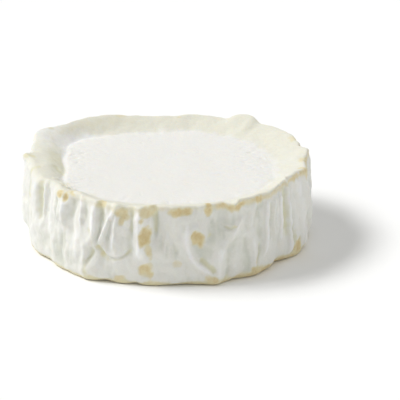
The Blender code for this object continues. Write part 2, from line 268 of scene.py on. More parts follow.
# Bare patches of the side wall and rim, where the bloom is worn off: angle, height, half width and half
# height in millimetres, lean in degrees, and how deep the colour is.
PATCHES = [
    (-138.6, 29.6, 2.3, 1.7, 10, 0.75),
    (-135.0, 28.9, 1.3, 2.2, -18, 0.95),
    (-132.0, 30.8, 3.2, 0.7, -12, 0.7),
    (-116.0, 30.6, 2.0, 1.9, 0, 0.6),
    (-106.8, 28.3, 2.9, 2.4, 0, 0.7),
    (-107.3, 24.9, 1.2, 1.8, 0, 0.6),
    (-97.0, 29.0, 3.2, 2.8, 0, 0.62),
    (-99.3, 26.0, 1.3, 1.6, -30, 0.6),
    (-97.9, 19.8, 2.6, 3.8, 0, 0.95),
    (-96.6, 14.4, 1.4, 3.0, 10, 0.65),
    (-97.8, 6.4, 3.1, 2.9, 0, 0.68),
    (-82.7, 28.9, 2.9, 1.9, 0, 0.85),
    (-86.9, 28.7, 2.4, 1.8, 0, 0.72),
    (-73.2, 28.8, 2.1, 2.7, 12, 0.9),
    (-77.6, 17.9, 2.5, 3.2, -18, 0.85),
    (-79.0, 19.4, 1.3, 2.2, 0, 0.8),
    (-85.4, 9.2, 1.9, 1.7, 0, 0.45),
    (-53.8, 2.6, 1.8, 2.0, -8, 0.65),
    (-24.4, 4.2, 3.2, 2.9, 0, 1.0),
    (-108.3, 2.2, 2.4, 1.7, 0, 0.55),
    (-119.5, 1.6, 2.0, 1.4, 0, 0.4),
    (-72.2, 2.2, 2.5, 2.2, 0, 0.62),
    (-12.0, 29.6, 1.6, 3.6, 0, 0.6),
    (-1.0, 30.4, 2.8, 2.8, 0, 0.55),
    (8.0, 31.0, 3.0, 1.6, 0, 0.4),
    (111.0, 33.0, 4.0, 1.0, 0, 0.4),
]

# A patch's outline is an oval at the power 2, and squarer above it. It is this far out, and as soft as this,
# measured in the patch's half sizes.
PATCH_POWER = 2.4
PATCH_OUTLINE = 1.35
PATCH_SOFTNESS = 0.9

# Patches of the side that doesn't show, drawn by a rule: how many, the angle that they keep from its
# start, and the ranges of their height, sizes, lean and depth.
BACK_PATCHES = 13
BACK_PATCH_START = 12.0
BACK_PATCH_HEIGHT = (1.0, 31.0)
BACK_PATCH_HALF_WIDTH = (0.8, 3.4)
BACK_PATCH_HALF_HEIGHT = (0.8, 3.4)
BACK_PATCH_LEAN = (-30.0, 30.0)
BACK_PATCH_DEPTH = (0.4, 0.95)

# Each has a second one beside it: the most that it is off in degrees and in height, and its share of the
# first one's sizes and of its depth.
BESIDE = (3.5, 4.0)
BESIDE_SIZE = 0.6
BESIDE_DEPTH = 0.8

# The thin bare line along the rim's outer edge: middle angle, half width in degrees, and how deep the
# colour is.
RIM_LINE = [
    (-42, 20, 0.55),
    (-63, 7, 0.75),
    (-23, 5, 0.75),
    (-13, 5, 0.65),
    (138, 20, 0.3),
    (-60.5, 2.2, 1.0),
    (-50, 1.8, 0.95),
    (-100, 24, 0.35),
    (-133, 9, 0.3),
    (111, 9, 0.3),
    (70, 22, 0.45),
    (22, 16, 0.5),
    (-1, 7, 0.7),
]

# The line's half height, its level below the crest, where it is narrower, and how softly each stretch ends.
RIM_LINE_HALF_HEIGHT = 1.6
RIM_LINE_BELOW = 1.4
RIM_LINE_NARROWER = [(-34, 16, -0.3)]
RIM_LINE_ENDS = 1.6

# Places where the foot's rounding is larger, so that the rind stands off the table: middle angle, half width
# in degrees, and how much larger.
FOOT_LIFTS = [
    (-115, 3.5, 2.0),
    (-102.5, 3.0, 1.8),
    (-86, 5, 1.0),
    (-60, 5.5, 2.0),
    (-38, 7, 2.2),
    (-134, 5, 0.8),
    (-150, 6, 0.8),
]

# Small marks on the plateau: place across and in depth, half length, half width, turn in degrees, and depth.
TOP_MARKS = [
    (-37.8, 13.2, 1.4, 0.7, 20, 0.6),
    (-36.4, 9.6, 1.7, 0.8, -10, 0.5),
    (-33.5, 16.0, 0.9, 0.6, 40, 0.4),
    (-35.0, 4.5, 1.1, 0.6, 70, 0.35),
    (32.4, 16.9, 1.6, 0.8, 30, 0.5),
    (36.9, 9.5, 1.5, 0.9, -40, 0.45),
    (30.0, 5.5, 1.1, 0.6, 10, 0.35),
    (19.8, -9.4, 2.1, 0.4, 4, 0.5),
    (28.0, 11.5, 1.8, 0.5, -15, 0.3),
    (-6.0, -16.0, 1.3, 0.5, 50, 0.2),
    (8.0, -20.0, 1.8, 0.5, -20, 0.2),
]

# Folds of the rim's slope, sunk into it and painted dark as their shade, each a straight line between two points,
# across and in depth: its two ends, its half width and its depth.
TOP_FOLDS = [
    ((-54.3, 4.5), (-52.6, -3.4), 0.9, 0.9),
    ((-43.4, -4.6), (-40.2, -9.4), 0.9, 0.3),
    ((-43.5, -25.0), (-38.2, -28.8), 0.45, 0.7),
    ((-39.5, -29.8), (-32.0, -31.4), 0.4, 0.6),
    ((-38.8, -19.5), (-35.5, -25.5), 0.5, 0.35),
    ((-44.0, -19.5), (-40.5, -23.0), 0.5, 0.4),
]

# The key light is two suns, turned this far to each side.
KEY_SPLIT = math.radians(11)

# The wide light from the front right.
FILL_SPREAD_AZIMUTH_ELEVATION = (math.radians(100), math.radians(-22), math.radians(38))

# How far to each side a place is compared with its surroundings, in degrees.
HOLLOW_REACH = 4.0

# The rind is crumpled where the left of the rim was folded in: angle, radius, and reach in millimetres.
CRUMPLE = (-149.0, 45.5, 7.0)

# Where the shoulder is rounder or crisper: middle angle, half width in degrees, and how much rounder.
SHOULDER_CHANGES = [
    (-160, 32, 1.5),
    (90, 70, 0.6),
    (*RIM_CURLS[0][:2], -0.8),
]

# On the left the rim's slope stays high and falls late, and has a gutter: middle angle and half width in
# degrees.
FOLDED_SLOPE = (176, 34)
GUTTER = (178, 34)

# Painted shade and light on the wall and the slope: where painted shade greys the wall, and below 0 it is whiter;
# where a painted highlight whitens the wall; where the slope that faces away from the key is painted lighter;
# and where the slope is painted whiter with less cream: angle, half width, how much.
SHADE_SWELLS = [(-63, 12, 0.35), (-40, 9, -0.5), (-112, 13, -0.3)]
WALL_HIGHLIGHT = [(-18, 8, 0.4)]
SLOPE_LIGHTENING = [(145, 20, 1.5)]
WHITER_SLOPE = [(-10, 30, -0.3), (148, 15, -0.6)]

# Where the slope on the left is green, partly its own tint and partly painted shade, and where the foot is brown
# high up, partly its own tint and partly painted contact shadow: middle angle and half width in degrees.
GREEN_LEFT = (174, 22)
RIGHT_FOOT = (-44, 24)

# Rows from the base's edge to the crest.
CREST_ROW = FOOT_ROWS + WALL_ROWS + SHOULDER_ROWS


# Short calls for the settings in the panel: each names one, describes it and gives its default.
def length_setting(name, description, default):
    return FloatProperty(name=name, description=description, default=default, unit="LENGTH")


def number_setting(name, description, default):
    return FloatProperty(name=name, description=description, default=default)


def angle_setting(name, description, degrees):
    return FloatProperty(name=name, description=description, default=math.radians(degrees), subtype="ANGLE")


def colour_setting(name, description, default):
    return FloatVectorProperty(name=name, description=description, default=default, subtype="COLOR", size=4)


class RindSizes(bpy.types.PropertyGroup):
    """Sizes of the wheel and of the grain of its rind."""

    mean_radius: length_setting("Mean radius", "Radius of the rim before its swells", 0.0538)
    rim_height: length_setting("Rim height", "Height of the rim before its swells", 0.0313)
    foot_radius: length_setting("Foot radius", "Radius of the foot before its swells", 0.0546)
    foot_round: length_setting("Foot rounding", "Rounding between base and wall", 0.0018)
    plateau_radius: length_setting("Plateau radius", "Radius of the sunken top", 0.0435)
    bloom_radius: length_setting("Bloom radius", "Radius of the top's white bloom", 0.0443)
    plateau_height: length_setting("Plateau height", "Height of the sunken top", 0.0286)
    shoulder_round: length_setting("Shoulder rounding", "Rounding of the rim's outer edge", 0.0012)
    gutter_depth: length_setting("Gutter depth", "Dip where the rim's slope meets the top", 0.0006)
    wrinkle_depth: length_setting("Wrinkle depth", "Height of the fine wrinkles between pleats", 0.0007)
    patch_depth: length_setting("Patch depth", "How far bare patches are sunk", 0.0004)
    grain_size: length_setting("Grain size", "Size of the bloom's grains", 0.0007)


class RindColours(bpy.types.PropertyGroup):
    """Colours of the rind, and of the light and shade painted on it."""

    # The walls' white is a little darker and yellower than the plateau's, in part painted shade on the walls.
    bloom: colour_setting("Bloom", "White bloom of the wall", (0.815, 0.812, 0.765, 1))
    # Painted highlight: the white of the lit ridges and lines, and of the slope lightened at the back left.
    painted_highlight: colour_setting("Thick bloom", "Bloom on the ridges", (0.90, 0.90, 0.885, 1))
    plateau: colour_setting("Plateau", "Bloom of the top", (0.845, 0.836, 0.805, 1))
    cream: colour_setting("Cream", "Thin bloom on the rim", (0.79, 0.777, 0.675, 1))
    # The rind's green tint, also used as painted shade in the grooves, in the folds and along the foot.
    olive: colour_setting("Groove", "Rind deep in the grooves", (0.74, 0.725, 0.55, 1))
    # Painted shade in the hollows of the wall.
    hollow: colour_setting("Hollow", "Bloom in the hollows of the wall", (0.70, 0.71, 0.64, 1))
    bare: colour_setting("Bare rind", "Rind where the bloom is off", (0.77, 0.68, 0.43, 1))
    bare_deep: colour_setting("Deep bare rind", "Heart of the bare patches", (0.68, 0.55, 0.30, 1))


class StudioSettings(bpy.types.PropertyGroup):
    """Lights, floor and camera."""

    floor_colour: colour_setting("Floor", "Colour of the floor", (0.97, 0.97, 0.97, 1))
    floor_size: length_setting("Floor size", "Width of the floor", 12.0)
    key_strength: number_setting("Key strength", "Strength of the soft key light", 2.38)
    key_spread: angle_setting("Key spread", "Angle that the key light fills", 22)
    key_elevation: angle_setting("Key elevation", "Height of the key light", 47.5)
    key_azimuth: angle_setting("Key azimuth", "Side that the key light comes from", 169.5)
    sky_strength: number_setting("Sky strength", "Even light from all round", 0.372)
    sky_colour: colour_setting("Sky colour", "Colour of the even light", (1, 1, 0.97, 1))
    fill_strength: number_setting("Fill strength", "Strength of the wide light from the front right", 0.60)
    camera_distance: length_setting("Camera distance", "From the camera to its target", 0.9)
    camera_elevation: angle_setting("Camera elevation", "Angle of the camera above the table", 19.8)
    camera_lens: number_setting("Camera lens", "Focal length in millimetres", 207.4)
    target: FloatVectorProperty(
        name="Camera target",
        description="Point in the middle of the picture, from the wheel's own axis",
        subtype="XYZ",
        unit="LENGTH",
        size=3,
        default=(0.0126, 0.0, 0.0145),
    )


def smooth(x):
    """0 below 0, 1 above 1, and an even S-curve between them."""
    x = np.clip(x, 0.0, 1.0)
    return x * x * (3.0 - 2.0 * x)


def turn_between(angle, middle):
    """The turn from middle to angle, between -180 and 180 degrees."""
    return (angle - middle + 180.0) % 360.0 - 180.0


def swell(angle, middle, half_width):
    """A round hump: e to the power of minus the square of the turn over the half width."""
    return np.exp(-((turn_between(angle, middle) / half_width) ** 2))


def swells(angle, table):
    """The sum of a table's humps, each with its middle angle, half width and height."""
    return sum(height * swell(angle, middle, half_width) for middle, half_width, height in table)


def swell_pair(angle, table):
    """The same twice, for a table with two heights in a row."""
    return [swells(angle, [(*row[:2], row[n]) for row in table]) for n in (2, 3)]


def noise(places, size, seed):
    """Smooth noise from about -1 to 1. Space is cut into cubes of the given size, each corner has a random slope,
    and at a place the eight slopes of its cube are blended by a smooth curve in each direction."""
    draw = np.random.default_rng(seed)
    order = draw.permutation(256)
    slopes = draw.normal(size=(256, 3))
    slopes /= np.linalg.norm(slopes, axis=1, keepdims=True)
    scaled = places / size
    cell = np.floor(scaled).astype(int)
    inside = scaled - cell
    blend = inside**3 * (inside * (inside * 6.0 - 15.0) + 10.0)
    total = 0.0
    for corner in itertools.product((0, 1), repeat=3):
        x, y, z = np.moveaxis((cell + corner) % 256, -1, 0)
        slope = slopes[order[(order[(order[x] + y) % 256] + z) % 256]]
        weight = np.prod(np.where(corner, blend, 1.0 - blend), axis=-1)
        total = total + weight * np.sum(slope * (inside - corner), axis=-1)
    return 1.6 * total


def layered_noise(places, size, layers, seed):
    """Noise added to itself, each layer half the size and half the height of the last."""
    return sum(noise(places, size / 2**n, seed + n) / 2**n for n in range(layers))


class WheelForm:
    """The wheel's shape, from the sizes in the panel. All its lengths are in millimetres."""

    def __init__(self, sizes):
        for name in sizes.bl_rna.properties.keys():
            if name not in ("rna_type", "name"):
                setattr(self, name, getattr(sizes, name) / MM)
        self.pleats = PLEATS + self.back_pleats()
        self.patches = PATCHES + self.back_patches()

    def back_pleats(self):
        """Ridges and grooves in turn round the side that doesn't show, evenly spaced with a random offset."""
        draw = np.random.default_rng(BACK_SEED)
        pitch = (BACK_LAST - BACK_FIRST) / (BACK_COUNT - 1)
        pleats = []
        for number in range(BACK_COUNT):
            angle = BACK_FIRST + pitch * (number + draw.uniform(*BACK_SHIFT))
            lean = draw.uniform(*BACK_LEAN)
            lower_end = draw.uniform(*BACK_LOWER_END)
            half_width = draw.uniform(*BACK_HALF_WIDTH)
            relief = draw.uniform(*(BACK_RIDGE if number % 2 else BACK_GROOVE))
            pleats.append((angle, angle + lean, self.rim_height, lower_end, half_width, relief))
        return pleats

    def back_patches(self):
        """Bare patches on the side that doesn't show, most of them near the rim or the foot, each in a
        pair."""
        draw = np.random.default_rng(BACK_SEED + 1)
        ranges = (
            (BACK_FIRST + BACK_PATCH_START, BACK_LAST),
            BACK_PATCH_HEIGHT,
            BACK_PATCH_HALF_WIDTH,
            BACK_PATCH_HALF_HEIGHT,
            BACK_PATCH_LEAN,
            BACK_PATCH_DEPTH,
        )
        patches = []
        for number in range(BACK_PATCHES):
            patch = [draw.uniform(*limits) for limits in ranges]
            patch[1] = self.rim_height * smooth(patch[1] / self.rim_height)
            angle, height, *sizes, lean, deep = patch
            angle, height = angle + BESIDE[0] * draw.uniform(-1, 1), height + BESIDE[1] * draw.uniform(-1, 1)
            sizes = [BESIDE_SIZE * size for size in sizes]
            patches += [patch, (angle, height, *sizes, lean, BESIDE_DEPTH * deep)]
        return patches

    def rim_crest(self, angle):
        """Radius and height of the rim's crest: the mean plus every swell."""
        out, up = swell_pair(angle, RIM_SWELLS)
        return self.mean_radius + out, self.rim_height + up

    def foot_edge(self, angle):
        """Radius of the foot: the mean plus every swell."""
        return self.foot_radius + swells(angle, FOOT_SWELLS)

    def foot_turn(self, angle):
        """Rounding of the foot, with its lifts and a little noise."""
        size = self.foot_round + swells(angle, FOOT_LIFTS)
        return size * (1.0 + 0.35 * noise(self.on_wall(angle, 0.0 * angle), 5.0, 85))

    def unevenness(self, angle, seed):
        """Noise along a circle of the plateau's size."""
        places = places_of(angle, self.plateau_radius, 0.0 * angle)
        return 0.8 * noise(places, 11.0, seed) + 0.15 * noise(places, 3.4, seed + 1)

    def plateau_edge(self, angle):
        """The mean radius plus every swell, made uneven by noise."""
        return self.plateau_radius + swells(angle, PLATEAU_SWELLS) + self.unevenness(angle, 81)

    def bloom_edge(self, angle):
        """Where the top's white bloom ends: its own mean radius and swells, made uneven by noise."""
        return self.bloom_radius + swells(angle, BLOOM_SWELLS) + self.unevenness(angle, 87)

    def shoulder(self, angle):
        """Rounding of the shoulder: the mean plus every change, softer on the left but for its curl."""
        return self.shoulder_round + swells(angle, SHOULDER_CHANGES)

    def on_wall(self, angle, height):
        """Places on a plain upright wall, for noise that meets itself all the way round."""
        return places_of(angle, self.mean_radius, height)

    def wandered(self, angle, height):
        """Angle and height shifted by slow noise, so that nothing on the wall runs dead straight."""
        places = self.on_wall(angle, height)
        across = noise(places, 9.0, 21) + 0.4 * noise(places, 3.5, 22)
        up = noise(places, 7.0, 23)
        return angle + 0.75 * across, height + 0.6 * up

    def pleat_relief(self, angle, height):
        """Sum of all pleats. Each is a ridge with a round section or a groove with a sharper one, along a leaning
        line, tapered at both ends."""
        relief = np.zeros_like(angle)
        for top_angle, low_angle, top, low, half_width, depth in self.pleats:
            share = np.clip((height - low) / (top - low), 0.0, 1.0)
            middle = low_angle + turn_between(top_angle, low_angle) * share
            off_line = np.abs(np.radians(turn_between(angle, middle)) * self.mean_radius) / half_width
            ends = smooth((height - low) / LOWER_TAPER + 0.5) * smooth((top - height) / PLEAT_TAPER + 0.5)
            power = RIDGE_POWER if depth > 0 else GROOVE_POWER
            relief = relief + depth * ends * np.exp(-(off_line**power))
        return relief

    def along_crease(self, angle, height, crease):
        """Distance to an arc, the side of it that a place is on, and how far along the arc it lies.

        A point of the arc is (1-t)^2 start + 2t(1-t) pull + t^2 end, and the nearest of a row of them
        counts."""
        start, pull, end = crease[:3]
        lean = abs(end[0] - start[0]) / (abs(end[0] - start[0]) + abs(end[1] - start[1]))
        nearest = np.full_like(angle, np.inf)
        above = np.zeros_like(angle)
        along = np.zeros_like(angle)
        for t in np.linspace(0.0, 1.0, CREASE_STEPS + 1):
            arc_angle, arc_height = ((1 - t) ** 2 * s + 2 * t * (1 - t) * p + t * t * e
                                     for s, p, e in zip(start, pull, end))
            across = np.radians(turn_between(angle, arc_angle)) * self.mean_radius
            up = height - arc_height
            distance = np.hypot(across, up)
            closer = distance < nearest
            nearest = np.where(closer, distance, nearest)
            above = np.where(closer, up * lean - across * (1.0 - lean), above)
            along = np.where(closer, t, along)
        return nearest, above, along

    def crease_relief(self, angle, height):
        """Sum of all creases: a groove along each arc, with a lip above it where one fold lies over
        the next."""
        relief = np.zeros_like(angle)
        for crease in CREASES:
            lip, depth, half_width = crease[3:]
            nearest, above, along = self.along_crease(angle, height, crease)
            ends = smooth(along / CREASE_TAPER)
            ends = ends * smooth((1.0 - along) / CREASE_TAPER)
            fall = smooth(1.0 - nearest / (LIP_REACH * half_width))
            relief = relief - depth * ends * np.exp(-((nearest / half_width) ** 2))
            relief = relief + lip * ends * fall * smooth(above / half_width)
        return relief

    def fine_wrinkles(self, angle, height):
        """Upright wrinkles: noise drawn out in height, folded at 0 so that its creases are sharp, over
        soft lumps."""
        places = self.on_wall(angle, height * 0.3)
        narrow = 1.0 - 2.0 * np.abs(noise(places, 2.1, 31))
        broad = noise(places, 5.0, 33)
        strength = 0.3 + 0.7 * smooth(0.5 + noise(self.on_wall(angle, height), 11.0, 35))
        lumps = layered_noise(self.on_wall(angle, height), 7.0, 3, 37)
        return self.wrinkle_depth * (strength * (0.4 * narrow + 0.9 * broad) + 0.9 * lumps)

    def wall_relief(self, angle, height):
        """All that stands out of the wall or is sunk in it. It dies out towards the base."""
        angle, height = self.wandered(angle, height)
        near_base = 0.35 + 0.65 * smooth(height / (2.0 * self.foot_round))
        return near_base * (self.pleat_relief(angle, height) + self.crease_relief(angle, height))

    def crest(self, angle):
        """The crest as its pleats shape it: outward and up on a ridge, inward and down in a groove."""
        radius, height = self.rim_crest(angle)
        out, up = self.crest_relief(angle)
        return radius + out, height + up

    def crest_relief(self, angle):
        """How far the pleats and the curls move the crest outward and upward, with a little noise of
        its own."""
        height = self.rim_crest(angle)[1]
        relief = self.wall_relief(angle, height - self.shoulder_round)
        places = self.on_wall(angle, 0.0 * angle)
        out, up = swell_pair(angle, RIM_CURLS)
        out = 0.4 * relief + 0.3 * noise(places, 4.0, 83) + out
        return out, 0.06 * relief + 0.35 * noise(places, 5.0, 84) + up

    def foot_band(self, angle, share):
        """Quarter circle from the base's edge to the wall."""
        turn = share * np.pi / 2
        size = self.foot_turn(angle)
        height = size * (1.0 - np.cos(turn))
        radius = self.foot_edge(angle) - size * (1.0 - np.sin(turn))
        return radius + self.wall_relief(angle, height), height

    def wall_band(self, angle, share):
        """The wall: from foot to rim along an S-curve, plus a belly, a half wave high, plus the relief."""
        crest_radius, crest_height = self.crest(angle)
        top = crest_height - self.shoulder(angle)
        low = self.foot_turn(angle)
        height = low + (top - low) * share
        foot, rim = self.foot_edge(angle), self.rim_crest(angle)[0]
        radius = foot + (rim - foot) * smooth(share) + 0.5 * np.sin(np.pi * share)
        shaped = radius + self.wall_relief(angle, height)
        return shaped + (crest_radius - shaped) * smooth((share - 0.88) / 0.12), height

    def shoulder_band(self, angle, share):
        """Quarter circle from the wall's top to the crest."""
        crest_radius, crest_height = self.crest(angle)
        turn = share * np.pi / 2
        size = self.shoulder(angle)
        return crest_radius - size * (1.0 - np.cos(turn)), crest_height - size * (1.0 - np.sin(turn))

    def slope_band(self, angle, share):
        """From the crest down to the plateau along an S-curve, late on the left, with a gutter at its
        foot."""
        crest_radius, crest_height = self.rim_crest(angle)
        out, up = self.crest_relief(angle)
        start = crest_radius - self.shoulder(angle)
        edge = self.plateau_edge(angle)
        radius = start + (edge - start) * share + out * (1.0 - share) ** 6
        folded = swell(angle, *FOLDED_SLOPE)
        fall = 0.5 * smooth(share) + 0.5 * (1.0 - (1.0 - share) ** 1.6)
        fall = fall + (smooth(share**1.7) - fall) * folded
        height = crest_height + (self.plateau_height - crest_height) * fall + up * (1.0 - share) ** 9
        return radius, height - self.gutter(angle, radius - edge)

    def gutter(self, angle, off_edge):
        """The dip along the plateau's edge, on the left only."""
        depth = self.gutter_depth * swell(angle, *GUTTER)
        return depth * np.exp(-((off_edge / 1.1) ** 2))

    def patch_mask(self, angle, height):
        """1 in a bare patch and 0 outside. Each patch is a leaning oval whose distance is shaken by noise."""
        places = self.on_wall(angle, height)
        shake = 0.42 * noise(places, 3.6, 41) + 0.22 * noise(places, 1.5, 42)
        mask = np.zeros_like(angle)
        for patch_angle, patch_height, half_width, half_height, lean, deep in self.patches:
            across = np.radians(turn_between(angle, patch_angle)) * self.mean_radius
            up = height - patch_height
            cos, sin = math.cos(math.radians(lean)), math.sin(math.radians(lean))
            along, off = (across * cos + up * sin) / half_width, (up * cos - across * sin) / half_height
            distance = (np.abs(along) ** PATCH_POWER + np.abs(off) ** PATCH_POWER) ** (1.0 / PATCH_POWER)
            mask = np.maximum(mask, deep * smooth((PATCH_OUTLINE + shake - distance) / PATCH_SOFTNESS))
        return mask

    def streak_share(self, angle, height, streak):
        """How near each place is to a streak: a bell curve of the distance that fades towards both ends."""
        nearest, _, along = self.along_crease(angle, height, streak)
        ends = smooth(along / STREAK_FADE + STREAK_END) * smooth((1.0 - along) / STREAK_FADE + STREAK_END)
        return ends * np.exp(-((nearest / streak[3]) ** 2))

    def streak_masks(self, angle, height):
        """How worn and how green each place is from the tinted streaks, with soft edges."""
        worn, green = np.zeros_like(angle), np.zeros_like(angle)
        uneven = 0.75 + 0.5 * noise(self.on_wall(angle, height), 2.2, 47)
        for streak in STREAKS:
            share = uneven * self.streak_share(angle, height, streak)
            worn = np.maximum(worn, streak[4] * share)
            green = np.maximum(green, streak[5] * share)
        return worn, green

    def highlight_lines(self, angle, height):
        """How strong the painted highlight is along the white lines: the strongest counts."""
        return np.maximum.reduce([line[4] * self.streak_share(angle, height, line) for line in WHITE_LINES])

    def rim_line_mask(self, angle, height):
        """1 along the rim's outer edge, in a thin uneven line."""
        crest = self.rim_crest(angle)[1]
        places = self.on_wall(angle, 0.0 * height)
        level = crest - RIM_LINE_BELOW + 0.6 * noise(places, 3.0, 43)
        half = RIM_LINE_HALF_HEIGHT * (1.0 + 0.6 * noise(places, 1.7, 44))
        half = half * (1.0 + swells(angle, RIM_LINE_NARROWER))
        strength = np.zeros_like(angle)
        for middle, half_width, deep in RIM_LINE:
            off_middle = np.abs(turn_between(angle, middle)) / half_width
            strength = np.maximum(strength, deep * smooth(RIM_LINE_ENDS - off_middle))
        return strength * np.exp(-(((height - level) / half) ** 2))


def band(maker, rows, angle, first):
    """Radius and height of the rows of one band, for every column."""
    start = 0 if first else 1
    share = (np.arange(start, rows + 1) / rows)[:, None]
    radius, height = maker(angle[None, :] + 0.0 * share, share + 0.0 * angle[None, :])
    return np.stack([radius, height])


def side_rows(form):
    """All rows of the side, from the base's edge over the rim to the plateau's edge, as radius and height."""
    angle = turn_between(np.arange(COLUMNS) * 360.0 / COLUMNS, 0.0)
    parts = [
        band(form.foot_band, FOOT_ROWS, angle, True),
        band(form.wall_band, WALL_ROWS, angle, False),
        band(form.shoulder_band, SHOULDER_ROWS, angle, False),
        band(form.slope_band, SLOPE_ROWS, angle, False),
    ]
    radius, height = np.concatenate(parts, axis=1)
    return angle[None, :] + 0.0 * radius, radius, height


def hollowness(relief):
    """How far each place lies below its surroundings to the left and right: the relief blurred along each row by a
    bell curve, less the relief itself."""
    cycles = np.fft.rfftfreq(COLUMNS, 1.0 / COLUMNS)
    reach = math.radians(HOLLOW_REACH)
    blur = np.exp(-0.5 * (cycles * reach) ** 2)
    return np.fft.irfft(np.fft.rfft(relief, axis=1) * blur, n=COLUMNS, axis=1) - relief


def side_tones(form, angle, radius, height, relief):
    """Bare, cream, green and grey tone of each place on the side, from its patches, its relief and its row.
    Grey is painted shade in the hollows and in places on the wall, with some random greying, and below 0 painted
    highlight; the green and cream in the grooves and along the foot are partly painted shade."""
    row = np.arange(radius.shape[0])[:, None] + 0.0 * radius
    on_slope = smooth((row - CREST_ROW + 4.0) / 4.0)
    on_wall = 1.0 - on_slope
    places = form.on_wall(angle, height)
    hollow = hollowness(relief)
    # Painted shade in the grooves: how deep each place lies below its surroundings.
    groove = smooth(hollow / 1.5) * on_wall
    # Grey: painted shade in the hollows, with some random greying.
    grey = smooth(0.18 + hollow / 1.0 + 0.45 * noise(places, 9.0, 75)) * on_wall
    patches = form.patch_mask(angle, height)
    off_top = 1.0 - smooth((row - CREST_ROW - 2.0) / 3.0)
    worn, green = form.streak_masks(angle, height)
    green = green * off_top
    line = form.rim_line_mask(angle, height) * np.maximum(on_wall, swell(angle, 130, 45))
    bare = np.clip(np.maximum(np.maximum(patches, worn) * off_top, line), 0.0, 1.0)
    halo = smooth(patches * 1.6) * off_top
    # Along the foot a tint that is partly the rind's own colour and partly painted contact shadow, higher on the
    # right.
    right_foot = swell(angle, *RIGHT_FOOT)
    foot_height = 1.8 + 1.5 * right_foot + 0.9 * noise(places, 4.0, 77)
    near_foot = smooth(1.5 - height / foot_height) * (row < CREST_ROW)
    # Painted shade on the lower wall at the front left, and painted shade, below 0 painted light, in places along the
    # wall.
    grey = grey + 0.6 * swell(angle, -138, 16) * smooth((17.0 - height) / 9.0) * on_wall
    grey = grey + swells(angle, SHADE_SWELLS) * on_wall
    # Painted highlight on the ridges, on the lit lines and on the slope at the back left, which takes the grey below
    # 0.
    ridges = smooth(-hollow / 1.3) + swells(angle, WALL_HIGHLIGHT)
    painted_highlight = np.maximum(form.highlight_lines(angle, height), ridges) * on_wall
    painted_highlight = painted_highlight + swells(angle, SLOPE_LIGHTENING) * on_slope
    grey = np.clip(grey, 0.0, 1.3) * (1.0 - smooth(painted_highlight)) - painted_highlight
    turn = np.radians(angle)
    # Painted shade in the slope's folds.
    folds = smooth((row - CREST_ROW) / 3.0) * top_folds(radius * np.cos(turn), radius * np.sin(turn))
    under_rim = on_wall * np.exp(-(((height - form.rim_crest(angle)[1]) / 2.2) ** 2))
    off_bloom = cream_tone(form, angle, radius, height)
    # Less cream on the slope at the right, and at the back left painted light where the slope faces away from the
    # key.
    off_bloom = off_bloom * (1.0 + swells(angle, WHITER_SLOPE))
    # Green on the left slope, partly its own tint and partly painted shade.
    left = 1.15 * swell(angle, *GREEN_LEFT) * smooth((row - CREST_ROW - 5.0) / 9.0) * off_bloom
    cream = on_slope * off_bloom + 0.7 * halo + 0.2 * groove + 0.5 * near_foot + 0.6 * under_rim
    cream = np.clip(cream, 0.0, 1.0)
    olive = 0.5 * groove + 1.1 * green + 0.8 * near_foot + 0.6 * left
    olive = np.clip(olive + 0.8 * line + 1.6 * folds + 0.4 * halo, 0.0, 1.0)
    return np.stack([np.maximum(bare, (0.55 + 0.25 * right_foot) * near_foot), cream, olive, grey], axis=-1)


def cream_tone(form, angle, radius, height):
    """0 inside the top's white bloom and 1 outside, over a soft edge that is crisp on the left."""
    places = places_of(angle, radius, 0.0 * height)
    softness = 7.0 - 5.8 * swell(angle, 175, 35)
    wander = 0.28 * softness * noise(places, 5.0, 71)
    return smooth(0.5 + (radius - form.bloom_edge(angle) + wander) / softness)


def top_grid():
    """Angle and share of the radius of each node of the top's square grid.

    A square of cells is laid over a disc: the ring of nodes at the same distance from the middle of the square,
    along its longer side, goes to one circle, with its nodes evenly spaced along it."""
    line = np.linspace(-1.0, 1.0, TOP_CELLS + 1)
    across, deep = np.meshgrid(line, line, indexing="ij")
    share = np.maximum(np.abs(across), np.abs(deep))
    safe = np.where(share == 0.0, 1.0, share)
    wide = np.abs(across) >= np.abs(deep)
    along = np.where(wide, deep / safe * np.sign(across), across / safe * np.sign(deep))
    side = np.where(across > 0, 0.0, 180.0)
    upright = np.where(deep > 0, 90.0, -90.0)
    angle = np.where(wide, side + 45.0 * along, upright - 45.0 * along)
    return turn_between(angle, 0.0), share


def plateau_relief(form, x, y, edge_share):
    """Gentle hollows, fine pits and the small marks of the top. All of it dies out at the plateau's edge."""
    places = np.stack([x, y, 0.0 * x], axis=-1)
    ends = smooth((np.abs(x) - 22.0) / 14.0)
    relief = 0.2 * layered_noise(places, 14.0, 2, 51) + (0.05 + 0.1 * ends) * layered_noise(places, 2.6, 2, 53)
    pits = smooth((noise(places, 2.1, 55) - 0.42) / 0.3) * smooth(0.2 + ends + noise(places, 12.0, 56))
    relief = relief - 0.22 * pits
    return (relief - top_marks(x, y)) * smooth((1.0 - edge_share) / 0.05)


def top_marks(x, y):
    """Depth of the small marks: each is a hump, bell-shaped along and across."""
    depth = np.zeros_like(x)
    for mark_x, mark_y, half_length, half_width, turn, deep in TOP_MARKS:
        cos, sin = math.cos(math.radians(turn)), math.sin(math.radians(turn))
        along = (x - mark_x) * cos + (y - mark_y) * sin
        off = (y - mark_y) * cos - (x - mark_x) * sin
        depth = depth + deep * np.exp(-((along / half_length) ** 2) - (off / half_width) ** 2)
    return depth


